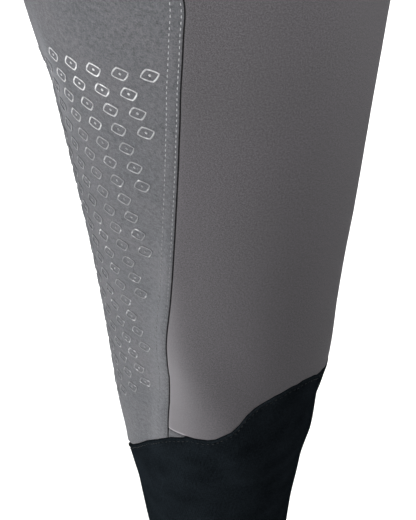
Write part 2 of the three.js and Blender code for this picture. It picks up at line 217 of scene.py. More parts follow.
class BREECHES_PG_colours(bpy.types.PropertyGroup):
    """The colours of the cloths and trims."""

    shell: tint("Shell", (0.0825, 0.0788, 0.0832), "Woven main cloth")
    grip: tint("Grip panel", (0.0900, 0.0920, 0.0985), "Brushed inner-leg cloth")
    cuff: tint("Cuff", (0.0054, 0.0072, 0.0088), "Knitted cuff")
    silicone: tint("Silicone", (0.50, 0.50, 0.51), "Grip marks")
    thread: tint("Seam thread", (0.30, 0.30, 0.31), "Stitches on the shell and the grip panels")
    dark_thread: tint("Dark thread", (0.0070, 0.0085, 0.0095), "Stitches on the cuffs")
    button: tint("Button", (0.030, 0.028, 0.030), "Waist button")
    floor: tint("Floor", (0.9, 0.9, 0.9), "Pale studio floor")


def sizes():
    return bpy.context.scene.breeches_sizes


def colours():
    return bpy.context.scene.breeches_colours


def in_mm(length):
    """A length property, which is in metres, in the tables' millimetres."""
    return length / MM


# The form of the cloth on a wearer


def smooth_curve(rows, at, turn=None):
    """A smooth curve through rows of (place, value). A closed curve repeats after turn."""
    places, values = np.array(sorted(rows), float).T
    if turn:
        places = np.concatenate([places - turn, places, places + turn])
        values = np.tile(values, 3)
        at = np.mod(at, turn)
    slopes = np.empty_like(values)
    slopes[1:-1] = (values[2:] - values[:-2]) / (places[2:] - places[:-2])
    slopes[0] = (values[1] - values[0]) / (places[1] - places[0])
    slopes[-1] = (values[-1] - values[-2]) / (places[-1] - places[-2])
    at = np.clip(at, places[0], places[-1])
    k = np.clip(np.searchsorted(places, at, side="right") - 1, 0, len(places) - 2)
    span = places[k + 1] - places[k]
    t = (at - places[k]) / span
    return (
        (2 * t**3 - 3 * t**2 + 1) * values[k]
        + (t**3 - 2 * t**2 + t) * span * slopes[k]
        + (3 * t**2 - 2 * t**3) * values[k + 1]
        + (t**3 - t**2) * span * slopes[k + 1]
    )


def section(z):
    """Middle, half width, widest Y, front depth and back depth of the half body at heights z."""
    at = {
        name: smooth_curve([(row[0], row[i]) for row in SECTIONS], z)
        for i, name in enumerate(SECTION_COLUMNS)
        if i
    }
    middle = (at["inner"] + at["outer"]) / 2
    half = (at["outer"] - at["inner"]) / 2
    return middle, half, at["wide"], at["wide"] - at["front"], at["back"] - at["wide"]


def leg_radius(z):
    _, half, _, front, back = section(z)
    return (half + (front + back) / 2) / 2


def as_angle(length, z):
    """A length round the leg as degrees."""
    return np.degrees(length / leg_radius(z))


def per_degree(z):
    """The length of a degree round the leg."""
    return np.radians(leg_radius(z))


def angle_at(x, z):
    """The angle at which the front of the left half stands at x."""
    middle, half, *_ = section(z)
    return np.degrees(np.arccos(np.clip((middle - x) / half, -1, 1)))


def middle_angle(z):
    """The angle at which a section above the crotch meets the middle of the garment."""
    return np.minimum(angle_at(0, z), FRONT_ANGLE)


def crotch_seam(angle):
    heights = np.linspace(CROTCH_Z, GUSSET_Z + 1, 60)
    return np.interp(np.abs(angle), middle_angle(heights), heights)


def cuff_seam(angle):
    """Height of the seam above a cuff, drawn slightly uneven by its sewing."""
    turn = np.radians(angle)
    uneven = sum(height * np.sin(waves * turn + phase) for height, waves, phase in CUFF_SEAM_WAVES)
    return smooth_curve(CUFF_SEAM, angle, turn=360) + uneven


def front_seam(z):
    return smooth_curve(FRONT_SEAM, z)


def back_seam(z):
    return smooth_curve(BACK_SEAM, z)


def side_seam(z):
    return SIDE_SEAM_ANGLE + 0 * z


def front_edge(z):
    return np.maximum(middle_angle(z), front_seam(z))


def back_edge(z):
    return 360 + np.minimum(-middle_angle(z), back_seam(z))


def smooth_point(angle, z):
    middle, half, wide, front, back = section(z)
    turn = np.radians(angle)
    depth = np.where(np.sin(turn) > 0, front, back)
    return np.stack([middle - half * np.cos(turn), wide - depth * np.sin(turn), z + 0 * turn], -1)


def outward_at(angle, z):
    """The way out of the cloth."""
    along_round = smooth_point(angle + 0.2, z) - smooth_point(angle - 0.2, z)
    down = smooth_point(angle, z - 0.5) - smooth_point(angle, z + 0.5)
    out = np.cross(down, along_round)
    return out / np.linalg.norm(out, axis=-1, keepdims=True)


def fold_height(leg, angle, z):
    """How far the folds move the cloth outwards."""
    radius = leg_radius(z)
    moved = np.zeros(np.broadcast(angle, z).shape)
    for fold_z, fold_angle, tilt, length, width, depth in FOLDS["both"] + FOLDS[leg]:
        turn = np.mod(angle - fold_angle + 540, 360) - 180
        round_it = np.radians(turn) * radius
        up = z - fold_z
        lean = math.radians(tilt)
        along = (round_it * math.sin(lean) + up * math.cos(lean)) / (length / 2)
        across = (round_it * math.cos(lean) - up * math.sin(lean)) / width
        moved += depth * np.exp(-(across**2) - along**4)
    return moved


def cloth_point(leg, angle, z, height, past_middle=False):
    """Points of the cloth, raised outwards by height. The right leg is the left one's mirror image."""
    angle, z = np.broadcast_arrays(np.asarray(angle, float), np.asarray(z, float))
    point = smooth_point(angle, z)
    point += outward_at(angle, z) * (fold_height(leg, angle, z) + height)[..., None]
    if not past_middle:
        point[..., 0] = np.maximum(point[..., 0], 0)
    if leg == "right":
        point[..., 0] *= -1
    return point


def edge_height(profile, distance):
    return np.interp(distance, *np.array(profile, float).T)


def bell(value, middle, spread):
    """One at the middle, and dying away on both sides of it."""
    return np.exp(-(((value - middle) / spread) ** 2))


def ramp(value, start, reach):
    """Nought up to the start, then rising over the reach to one."""
    return np.clip((value - start) / reach, 0, 1)


def pucker(place, size):
    """The small uneven waves that a sewn seam draws into the cloth."""
    return size * sum(height * np.sin(place / length + phase) for height, length, phase in PUCKER_WAVES)


def cuff_pucker(angle, z):
    """The same waves round the leg, drawn out a little."""
    return pucker(angle * per_degree(z) * 0.8, CUFF_PUCKER)


# Panels


def shell_bottom(angle):
    return cuff_seam(angle) + SEAM_GAP / 2


def notched_bottom(angle):
    """The lower edge of a front, which turns back at its inner corner."""
    bottom = shell_bottom(angle)
    across = np.radians(angle - front_seam(bottom)) * leg_radius(bottom)
    near = np.clip(1 - np.maximum(across, 0) / CORNER_WIDTH, 0, 1)
    return bottom + CORNER_UP * near**CORNER_CURVE


def body_top(angle):
    return BAND_BOTTOM_Z - SEAM_GAP + 0 * angle


# edge is the profile of the two sides, rows the mesh rows above and below the gusset, and centre the side
# that closes on the middle plane above the crotch.
PANELS = {
    "grip_panel": {
        "slot": "grip_cloth", "low": back_seam, "high": front_seam,
        "top": crotch_seam, "bottom": shell_bottom,
        "edge": TURNED_EDGE, "top_edge": CROTCH_EDGE, "columns": 26, "rows": (0, 104), "centre": None,
    },
    "front": {
        "slot": "shell_cloth", "low": front_edge, "high": side_seam,
        "top": body_top, "bottom": notched_bottom,
        "edge": PLAIN_EDGE, "top_edge": LOWER_EDGE, "columns": 28, "rows": (36, 96), "centre": 0,
    },
    "back": {
        "slot": "shell_cloth", "low": side_seam, "high": back_edge,
        "top": body_top, "bottom": shell_bottom,
        "edge": PLAIN_EDGE, "top_edge": LOWER_EDGE, "columns": 28, "rows": (36, 96), "centre": -1,
    },
}


def panel_levels(rows):
    """Rows of (share of the top, share of the gusset, share of the bottom, height above that)."""
    above, below = rows
    inset = EDGE_STEPS[-1]
    levels = [(1, 0, 0, -step) for step in EDGE_STEPS]
    if above:
        levels += [(1 - k / above, k / above, 0, -inset * (1 - k / above)) for k in range(1, above)]
        levels += [(0, 1 - k / below, k / below, inset * k / below) for k in range(below)]
    else:
        levels += [(1 - k / below, 0, k / below, inset * (2 * k / below - 1)) for k in range(1, below)]
    levels += [(0, 0, 1, step) for step in reversed(EDGE_STEPS)]
    return np.array(levels, float)


def panel_places(panel):
    """Angles and heights of a panel's mesh lines. Lines crowd beside the sewn edges."""
    spans = np.linspace(0, 1, panel["columns"] + 2)[1:-1]
    share = np.concatenate([np.zeros(len(EDGE_STEPS)), spans, np.ones(len(EDGE_STEPS))])[:, None]
    steps = np.concatenate([EDGE_STEPS, [EDGE_STEPS[-1]] * len(spans), EDGE_STEPS[::-1]])[:, None]
    levels = panel_levels(panel["rows"])
    z = np.full((len(share), len(levels)), float(CROTCH_Z))
    for _ in range(10):
        low = panel["low"](z) + as_angle(SEAM_GAP / 2, z)
        high = panel["high"](z) - as_angle(SEAM_GAP / 2, z)
        inset = as_angle(steps, z)
        inner_low = low + as_angle(EDGE_STEPS[-1], z)
        inner_high = high - as_angle(EDGE_STEPS[-1], z)
        angle = inner_low + (inner_high - inner_low) * share
        angle = np.where(share == 0, low + inset, angle)
        angle = np.where(share == 1, high - inset, angle)
        z = levels[:, 0] * panel["top"](angle) + levels[:, 1] * GUSSET_Z
        z = z + levels[:, 2] * panel["bottom"](angle) + levels[:, 3]
    return angle, z


def edge_distances(panel, angle, z):
    """Distances on the cloth from a panel's two sides and from its bottom."""
    low = (angle - panel["low"](z)) * per_degree(z)
    high = (panel["high"](z) - angle) * per_degree(z)
    return low, high, z - panel["bottom"](angle)


def panel_relief(name, angle, z):
    """Height of the seams' relief on a panel. It is the same for the cloth and for what lies on it."""
    panel = PANELS[name]
    low, high, above = edge_distances(panel, angle, z)
    low, high = np.maximum(low - SEAM_GAP / 2, 0), np.maximum(high - SEAM_GAP / 2, 0)
    above = np.maximum(above, 0)
    raised = edge_height(panel["edge"], low) + edge_height(panel["edge"], high)
    raised += pucker(z, SIDE_PUCKER) * bell(low, 3.5, 3.5)
    raised += pucker(z + 31, SIDE_PUCKER) * bell(high, 3.5, 3.5)
    raised += edge_height(LOWER_EDGE, above)
    raised += cuff_pucker(angle, z) * bell(above, 5, 6)
    top = np.maximum(panel["top"](angle) - z, 0)
    raised += edge_height(panel["top_edge"], top)
    return np.maximum(raised, DEEPEST_DITCH)


def worn_share(name, angle, z):
    """How far the cloth is paled: wear and a painted highlight beside the knee seam, painted highlights on
    the turned corner's edge and inside the knee.
    """
    from_seam = (angle - front_seam(z)) * per_degree(z)
    if name == "front":
        spread = np.interp(z, [-660, -560], [16, 6])
        # Partly wear, partly a painted highlight: a pale band beside the seam, low on the front.
        rubbed = 0.8 * bell(from_seam, 0, spread) * ramp(-z, 535, 70)
        # A painted highlight along the edge of the turned-up corner.
        turned = bell(z - notched_bottom(angle), 1.7, 0.8) * (from_seam < 12)
        return np.maximum(rubbed, 2 * turned)
    if name == "grip_panel":
        knee_angle, knee_z = 33, -447
        # Painted highlights on the grip panel: a pale patch inside the knee and a band beside the front seam
        # low down.
        knee = 0.5 * bell((angle - knee_angle) * per_degree(z), 0, 7) * bell(z, knee_z, 30)
        hem_side = 0.18 * bell(from_seam, -6, 6) * ramp(-z, 490, 50)
        return knee + hem_side
    return 0 * z


# Building sheets


def join_grids(outer, inner, closed, inside_out):
    """Vertices and faces of a wall from its outer and inner grids of points."""
    columns, rows = outer.shape[:2]
    points = np.concatenate([outer.reshape(-1, 3), inner.reshape(-1, 3)]) * MM
    index = np.arange(2 * columns * rows).reshape(2, columns, rows)
    if closed:
        index = np.concatenate([index, index[:, :1]], axis=1)
    out, inn = index
    faces = [
        np.stack([out[:-1, :-1], out[:-1, 1:], out[1:, 1:], out[1:, :-1]], -1).reshape(-1, 4),
        np.stack([inn[:-1, :-1], inn[1:, :-1], inn[1:, 1:], inn[:-1, 1:]], -1).reshape(-1, 4),
        np.stack([out[:-1, 0], out[1:, 0], inn[1:, 0], inn[:-1, 0]], -1),
        np.stack([out[:-1, -1], inn[:-1, -1], inn[1:, -1], out[1:, -1]], -1),
    ]
    if not closed:
        faces.append(np.stack([out[0, :-1], inn[0, :-1], inn[0, 1:], out[0, 1:]], -1))
        faces.append(np.stack([out[-1, :-1], out[-1, 1:], inn[-1, 1:], inn[-1, :-1]], -1))
    faces = np.concatenate(faces)
    return points, faces[:, ::-1] if inside_out else faces


def mesh_object(name, points, faces, slot):
    """A smooth mesh object at the origin that rides on the part's one body."""
    mesh = bpy.data.meshes.new(name)
    mesh.from_pydata(points.tolist(), [], faces)
    mesh.polygons.foreach_set("use_smooth", [True] * len(mesh.polygons))
    mesh.materials.append(finish_of(slot))
    piece = bpy.data.objects.new(name, mesh)
    bpy.context.scene.collection.objects.link(piece)
    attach(piece, "root")
    return piece


def give_attribute(piece, name, values):
    """Stores a number or a vector for each point, which the piece's material reads."""
    vector = values.size > len(piece.data.vertices)
    attribute = piece.data.attributes.new(name, "FLOAT_VECTOR" if vector else "FLOAT", "POINT")
    attribute.data.foreach_set("vector" if vector else "value", values.ravel())


def flat_cut(outer, closed):
    """Width, length and area of a sheet before it was sewn, in metres."""
    ring = np.concatenate([outer, outer[:1]]) if closed else outer
    across = np.linalg.norm(np.diff(ring, axis=0), axis=-1)
    along = np.linalg.norm(np.diff(ring, axis=1), axis=-1)
    first = np.cross(ring[1:, :-1] - ring[:-1, :-1], ring[:-1, 1:] - ring[:-1, :-1])
    second = np.cross(ring[1:, :-1] - ring[1:, 1:], ring[:-1, 1:] - ring[1:, 1:])
    area = (np.linalg.norm(first, axis=-1) + np.linalg.norm(second, axis=-1)).sum() / 2
    width, length = across.sum(axis=0).max(), along.sum(axis=1).max()
    return width * MM, length * MM, min(area, width * length) * MM * MM


def cloth_sheet(
    name, slot, outer, inner, grain, seam, node, held, rests_on, wear_and_highlight=None, closed=False, mirrored=False
):
    """One sheet of cloth in place of its solid, with what its material reads at each point."""
    points, faces = join_grids(outer, inner, closed, mirrored)
    piece = mesh_object(name, points, faces.tolist(), slot)
    wear_and_highlight = 0 * seam if wear_and_highlight is None else wear_and_highlight
    # The material reads the seam distance for its painted ditch shade, and the share of wear and painted
    # highlight.
    for key, values in (("grain", grain), ("seam", seam), ("wear_and_highlight", wear_and_highlight)):
        give_attribute(piece, key, np.concatenate([values, values]).astype(float))
    if node:
        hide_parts(node)
    width, length, area = flat_cut(outer, closed)
    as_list(rests_on)
    return piece


def grain_of(angle, z, middle):
    """Millimetres along the weft and the warp, for the weave."""
    return np.stack([np.radians(angle - middle) * leg_radius(z), z, 0 * z], -1)


# Materials


class Shader:
    """A node material under construction."""

    def __init__(self, name):
        self.material = bpy.data.materials.new(name)
        self.material.use_nodes = True
        self.tree = self.material.node_tree
        self.surface = self.tree.nodes["Principled BSDF"]

    def node(self, kind, inputs=None, **settings):
        """Adds a node. An input is a number, or another node's socket to link."""
        made = self.tree.nodes.new(kind)
        for key, value in settings.items():
            setattr(made, key, value)
        for key, value in (inputs or {}).items():
            self.put(made.inputs[key], value)
        return made.outputs[0]

    def put(self, socket, value):
        if isinstance(value, bpy.types.NodeSocket):
            self.tree.links.new(value, socket)
        else:
            socket.default_value = value

    def math(self, operation, first, second=0.0):
        return self.node("ShaderNodeMath", {0: first, 1: second}, operation=operation)

    def together(self, *parts):
        """Sums (value, weight) parts about a half."""
        total = 0.5 - sum(weight for _, weight in parts) / 2
        for value, weight in parts:
            total = self.math("ADD", total, self.math("MULTIPLY", value, weight))
        return total

    def attribute(self, name, output):
        made = self.tree.nodes.new("ShaderNodeAttribute")
        made.attribute_name = name
        return made.outputs[output]

    def place(self):
        """Where a point is on its object, in metres."""
        return self.tree.nodes.new("ShaderNodeTexCoord").outputs["Object"]

    def noise(self, place, scale, detail=2.0, roughness=0.5):
        settings = {"Vector": place, "Scale": scale, "Detail": detail, "Roughness": roughness}
        return self.node("ShaderNodeTexNoise", settings)

    def cloud(self, place, low, scale, detail=2.0, roughness=0.5):
        """Noise whose values from low to as far below one are spread over nought to one."""
        return self.span(self.noise(place, scale, detail, roughness), low, 1 - low)

    def threads(self, place, pitch, direction, distortion=0.0):
        """Threads side by side, pitch apart."""
        inputs = {"Vector": place, "Scale": 2 * math.pi / (20 * pitch), "Distortion": distortion}
        inputs.update({"Detail": 1.0, "Detail Scale": 0.6})
        return self.node("ShaderNodeTexWave", inputs, bands_direction=direction)

    def mix(self, share, first, second):
        made = self.tree.nodes.new("ShaderNodeMix")
        made.data_type = "RGBA"
        self.put(made.inputs["Factor"], share)
        self.put(made.inputs["A"], (*first, 1) if isinstance(first, tuple) else first)
        self.put(made.inputs["B"], (*second, 1) if isinstance(second, tuple) else second)
        return made.outputs["Result"]

    def span(self, value, low, high, to_low=0.0, to_high=1.0):
        """Spreads the values from low to high over another range."""
        inputs = {"Value": value, "From Min": low, "From Max": high, "To Min": to_low, "To Max": to_high}
        return self.node("ShaderNodeMapRange", inputs)

    def bump(self, height, depth, strength=1.0, under=None):
        inputs = {"Height": height, "Distance": depth, "Strength": strength}
        if under:
            inputs["Normal"] = under
        return self.node("ShaderNodeBump", inputs)

    def finish(self, **values):
        """Sets the surface's own sockets."""
        for key, value in values.items():
            self.put(self.surface.inputs[key.replace("_", " ")], value)
        return self.material


def shade(colour, *factors):
    """A colour times one factor, or times one for each of its three parts."""
    return tuple(min(1.0, part * factor) for part, factor in zip(colour, factors * 3))


def sewn_down(s, base, colour, reach):
    """The colour, with painted shade in the ditch beside a seam."""
    ditch = s.span(s.attribute("seam", "Fac"), 0.15, reach, 1.0, 0.0)
    return s.mix(ditch, colour, shade(base, 0.08))


def woven_shell():
    """Fine dense softshell weave with a faint warm cast."""
    s = Shader("woven_shell")
    base = tuple(colours().shell)
    grain = s.attribute("grain", "Vector")
    weave = s.math("MULTIPLY", s.threads(grain, 0.62, "X", 0.4), s.threads(grain, 0.55, "Y", 0.4))
    cloud = s.cloud(grain, 0.35, 0.018, 3.0)
    fleck = s.cloud(grain, 0.28, 0.9, 3.0, 0.75)
    grit = s.cloud(grain, 0.3, 2.4, 1.0)
    warm = s.mix(cloud, shade(base, 0.96), shade(base, 1.05, 1.0, 1.06))
    dark = s.mix(cloud, shade(base, 0.60), shade(base, 0.62))
    texture = s.together((fleck, 0.6), (grit, 0.9), (weave, 0.4))
    colour = s.mix(texture, dark, s.mix(0.5, warm, shade(base, 1.8)))
    # Wear and a painted highlight beside the knee seam, and a brighter painted highlight along the turned
    # corner's edge.
    wear_and_highlight = s.attribute("wear_and_highlight", "Fac")
    colour = s.mix(wear_and_highlight, colour, shade(base, 1.9))
    colour = s.mix(s.span(wear_and_highlight, 1, 2), colour, shade(base, 3.2))
    return s.finish(
        Base_Color=sewn_down(s, base, colour, 0.6),
        Roughness=0.85,
        Normal=s.bump(fleck, 0.0002, 0.35, s.bump(weave, 0.00012, 0.5)),
        Sheen_Weight=0.01,
        Sheen_Roughness=0.5,
        Specular_IOR_Level=0.03,
    )


def brushed_grip():
    """Brushed microfibre with a soft mottled nap."""
    s = Shader("brushed_grip")
    base = tuple(colours().grip)
    grain = s.attribute("grain", "Vector")
    nap = s.cloud(grain, 0.32, 0.42, 4.0, 0.65)
    pile = s.cloud(grain, 0.28, 1.25, 2.0, 0.7)
    cloud = s.cloud(grain, 0.35, 0.03)
    texture = s.together((nap, 0.5), (pile, 0.65), (cloud, 0.12))
    warmth = s.mix(cloud, shade(base, 1.45), shade(base, 1.48, 1.43, 1.42))
    colour = s.mix(texture, shade(base, 0.55), warmth)
    # Painted highlights inside the knee and beside the front seam low down.
    colour = s.mix(s.attribute("wear_and_highlight", "Fac"), colour, shade(base, 2.2))
    return s.finish(
        Base_Color=sewn_down(s, base, colour, 0.5),
        Roughness=0.93,
        Normal=s.bump(pile, 0.0003, 0.6, s.bump(nap, 0.0005, 0.5)),
        Sheen_Weight=0.06,
        Sheen_Roughness=0.4,
        Specular_IOR_Level=0.06,
    )


def knitted_cuff():
    """Fine black jersey with upright ribs."""
    s = Shader("knitted_cuff")
    base = tuple(colours().cuff)
    grain = s.attribute("grain", "Vector")
    ribs = s.threads(grain, 1.15, "X", 0.3)
    courses = s.threads(grain, 0.9, "Y", 0.5)
    faded = s.cloud(grain, 0.3, 0.05, 3.0)
    fleck = s.cloud(grain, 0.3, 0.8, 2.0, 0.7)
    texture = s.together((faded, 0.4), (fleck, 0.7), (ribs, 0.15))
    colour = s.mix(texture, shade(base, 0.3), shade(base, 1.7))
    loops = s.math("ADD", s.math("MULTIPLY", ribs, 0.8), s.math("MULTIPLY", courses, 0.2))
    return s.finish(
        Base_Color=colour, Roughness=0.9, Normal=s.bump(loops, 0.00015, 0.4), Specular_IOR_Level=0.0
    )


def silicone_print():
    """Clear silicone over the cloth: glossy and painted light as a highlight where the print is least rubbed,
    matt and near the cloth's colour where the saddle has rubbed it.
    """
    s = Shader("silicone_print")
    highlight_and_gloss = s.attribute("highlight_and_gloss", "Fac")
    cast = s.cloud(s.place(), 0.3, 400.0)
    base, under = tuple(colours().silicone), tuple(colours().grip)
    # Away from the painted highlight the marks take a colour near the cloth's.
    rubbed = s.mix(cast, shade(under, 0.85), shade(under, 1.35))
    colour = s.mix(highlight_and_gloss, rubbed, s.mix(cast, shade(base, 0.6), shade(base, 1.4)))
    normal = s.bump(s.noise(s.place(), 900.0), 0.0001, 0.3)
    return s.finish(Base_Color=colour, Roughness=s.span(highlight_and_gloss, 0, 1, 0.5, 0.12), Normal=normal)


def sewing_thread(name, base):
    """Twisted polyester thread, darker low on the legs and lighter above."""
    s = Shader(name)
    ply = s.node("ShaderNodeTexWave", {"Vector": s.place(), "Scale": 900.0}, bands_direction="DIAGONAL")
    height = s.tree.nodes.new("ShaderNodeSeparateXYZ")
    s.put(height.inputs["Vector"], s.place())
    # The colour grows lighter with height, from low on the legs to the upper legs.
    lighter_above = s.span(height.outputs["Z"], -0.57, -0.43)
    colour = s.mix(lighter_above, shade(base, 0.42), s.mix(ply, shade(base, 0.85), shade(base, 1.2)))
    normal = s.bump(ply, 0.0001, 0.4)
    return s.finish(Base_Color=colour, Roughness=0.6, Normal=normal, Specular_IOR_Level=0.15)


def light_thread():
    return sewing_thread("light_thread", tuple(colours().thread))


def dark_thread():
    return sewing_thread("dark_thread", tuple(colours().dark_thread))


def button_resin():
    """Dark resin with a faint marbling."""
    s = Shader("button_resin")
    base = tuple(colours().button)
    colour = s.mix(s.cloud(s.place(), 0.3, 220.0, 5.0, 0.6), shade(base, 0.7), shade(base, 1.9))
    scratch = s.noise(s.place(), 1500.0, 2.0)
    rough = s.span(scratch, 0.3, 0.7, 0.28, 0.42)
    return s.finish(Base_Color=colour, Roughness=rough, Normal=s.bump(scratch, 0.00003, 0.4))


def studio_floor():
    s = Shader("studio_floor")
    base = tuple(colours().floor)
    colour = s.mix(s.cloud(s.place(), 0.3, 3.0), shade(base, 0.98), base)
    return s.finish(Base_Color=colour, Roughness=0.9)


# What the pieces of each slot are made of
FINISHES = {
    "shell_cloth": woven_shell,
    "grip_cloth": brushed_grip,
    "cuff_knit": knitted_cuff,
    "grip_silicone": silicone_print,
    "seam_thread": light_thread,
    "dark_thread": dark_thread,
    "button_resin": button_resin,
}


def finish_of(slot):
    """The material of a slot, made once."""
    make = FINISHES[slot]
    return bpy.data.materials.get(make.__name__) or make()


# Laying small things on the cloth


def small_form(add, **settings):
    """Points and faces of a primitive that bpy.ops adds, which is then taken away."""
    bpy.ops.object.select_all(action="DESELECT")
    add(**settings)
    piece = bpy.context.object
    points = np.array([v.co for v in piece.data.vertices])
    faces = [tuple(face.vertices) for face in piece.data.polygons]
    bpy.data.objects.remove(piece)
    return points, faces


def rotated(x, y, turn):
    return x * np.cos(turn) - y * np.sin(turn), x * np.sin(turn) + y * np.cos(turn)


def even_relief(height):
    """The relief of cloth that lies flat."""
    return lambda angle, z: height + 0 * angle


def grip_relief(angle, z):
    return panel_relief("grip_panel", angle, z) + 0.12


def cuff_relief(angle, z):
    return edge_height(CUFF_EDGE, cuff_seam(angle) - z) + edge_height(HEM_EDGE, z - HEM_Z)


def lay_on_cloth(form, leg, angle, z, turn, relief, past_middle=False):
    """Copies a small form to places on the cloth, bent to it. turn is each copy's lean, in radians."""
    points, faces = form
    angle, z, turn = (np.asarray(a, float)[:, None] for a in (angle, z, turn))
    x, y, height = points.T
    round_it, up = rotated(x, y, turn)
    at_z = z + up
    at_angle = angle + np.degrees(round_it / leg_radius(at_z))
    placed = cloth_point(leg, at_angle, at_z, relief(angle, z) + height, past_middle)
    many = [
        tuple(corner + copy * len(points) for corner in (face[::-1] if leg == "right" else face))
        for copy in range(len(angle))
        for face in faces
    ]
    return placed.reshape(-1, 3), many


def join_forms(name, forms, slot):
    """One object from several sets of laid forms."""
    points, faces = [], []
    for laid, polygons in forms:
        start = sum(len(p) for p in points)
        points.append(laid)
        faces += [tuple(corner + start for corner in face) for face in polygons]
    return mesh_object(name, np.concatenate(points) * MM, faces, slot)


def stitch_form():
    """One stitch: a short thread that dives into the cloth at both ends."""
    half_length, thread_radius, lift = in_mm(sizes().stitch_pitch) * 0.27, 0.28, 0.02
    points, faces = small_form(bpy.ops.mesh.primitive_uv_sphere_add, segments=6, ring_count=5, radius=1)
    x, y, along = points.T
    return np.stack([x * thread_radius, along * half_length, y * thread_radius * 0.9 + lift], -1), faces


def even_steps(angle, z, pitch):
    """Places pitch apart along a line on the cloth, and the line's lean at each."""
    radius = per_degree(z)
    step = np.hypot(np.diff(angle) * (radius[1:] + radius[:-1]) / 2, np.diff(z))
    run = np.concatenate([[0], np.cumsum(step)])
    stops = np.arange(pitch / 2, run[-1], pitch)
    at_angle, at_z = np.interp(stops, run, angle), np.interp(stops, run, z)
    ahead = np.interp(stops + 1, run, angle) - np.interp(stops - 1, run, angle)
    rise = np.interp(stops + 1, run, z) - np.interp(stops - 1, run, z)
    return at_angle, at_z, np.arctan2(rise, ahead * per_degree(at_z)) - math.pi / 2


def scatter(numbers, seed):
    """A fixed share from nought to one for each number, in no visible order."""
    return np.mod(np.sin(numbers * seed) * 43758.5453, 1)


# Operators


class BREECHES_OT_panels(bpy.types.Operator):
    """Make the fronts, the backs and the grip panels of both legs"""

    bl_idname = "breeches.panels"
    bl_label = "Shell and grip panels"

    def execute(self, context):
        thickness = in_mm(sizes().shell_cloth)
        for name, panel in PANELS.items():
            angle, z = panel_places(panel)
            raised = panel_relief(name, angle, z)
            for leg in LEGS:
                layers = [cloth_point(leg, angle, z, height) for height in (raised, -thickness)]
                centre = panel["centre"]
                if centre is not None:
                    for layer in layers:
                        layer[centre, z[centre] >= GUSSET_Z, 0] = 0
                cloth_sheet(
                    f"{name}_cloth_{leg}", panel["slot"], *layers,
                    grain_of(angle, z, (panel["low"](z) + panel["high"](z)) / 2),
                    np.minimum.reduce(edge_distances(panel, angle, z)),
                    f"{name}_{leg}", "hung", ["waistband"],
                    wear_and_highlight=worn_share(name, angle, z), mirrored=leg == "right",
                )
        return {"FINISHED"}


class BREECHES_OT_corner_facings(bpy.types.Operator):
    """Make the bit of grip cloth that shows behind the turned corner of each front"""

    bl_idname = "breeches.corner_facings"
    bl_label = "Corner facings"

    # Reach from the front seam and from the cuff's seam, and the angle near which the two seams meet
    ACROSS, UP, CORNER_ANGLE = (0.15, 16), (0.3, 13), 68.0
    COLUMNS, ROWS = 30, 26
    SHOWN_DEPTH, ROOM_BEHIND, THICKNESS = 0.45, 0.15, 1

    def execute(self, context):
        across = np.linspace(*self.ACROSS, self.COLUMNS)[:, None]
        up = np.linspace(*self.UP, self.ROWS)[None, :]
        z = shell_bottom(np.array(self.CORNER_ANGLE)) + up + 0 * across
        for _ in range(5):
            angle = front_seam(z) + as_angle(across, z)
            z = shell_bottom(angle) + up
        opened = ramp(notched_bottom(angle) - z, 0.3, 1.2)
        hidden_depth = in_mm(sizes().shell_cloth) + self.ROOM_BEHIND
        depth = hidden_depth * (1 - opened) + self.SHOWN_DEPTH * opened
        for leg in LEGS:
            layers = [cloth_point(leg, angle, z, -depth - more) for more in (0, self.THICKNESS)]
            cloth_sheet(
                f"corner_facing_{leg}", "grip_cloth", *layers, grain_of(angle, z, 0),
                np.full(z.shape, FAR_FROM_SEAM), None, "hung", [f"front_{leg}"], mirrored=leg == "right",
            )
        return {"FINISHED"}


class BREECHES_OT_cuffs(bpy.types.Operator):
    """Make the knitted cuffs"""

    bl_idname = "breeches.cuffs"
    bl_label = "Knitted cuffs"

    COLUMNS, ROWS = 160, 58
    SEAM_REACH = 8

    def execute(self, context):
        angle = np.linspace(0, 360, self.COLUMNS + 1)[:-1, None]
        top = cuff_seam(angle) - SEAM_GAP / 2
        near_top = [step for step in EDGE_STEPS if step < self.SEAM_REACH]
        below_top, above_hem = near_top[-1], HEM_STEPS[-1]
        rows = [top - step for step in near_top]
        for share in np.linspace(0, 1, self.ROWS + 2)[1:-1]:
            rows.append(top - below_top + (HEM_Z + above_hem - top + below_top) * share)
        rows += [HEM_Z + step + 0 * top for step in reversed(HEM_STEPS)]
        z = np.concatenate(rows, axis=1)
        angle = np.broadcast_to(angle, z.shape)
        below = np.maximum(cuff_seam(angle) - z - SEAM_GAP / 2, 0)
        raised = edge_height(CUFF_EDGE, below) + edge_height(HEM_EDGE, z - HEM_Z)
        raised += cuff_pucker(angle, z) * bell(below, 3, 5)
        for leg in LEGS:
            layers = [cloth_point(leg, angle, z, height) for height in (raised, -in_mm(sizes().cuff_cloth))]
            cloth_sheet(
                f"cuff_knit_{leg}", "cuff_knit", *layers, grain_of(angle, z, 180), below, f"cuff_{leg}",
                "stretched", [f"front_{leg}"], closed=True, mirrored=leg == "right",
            )
        return {"FINISHED"}


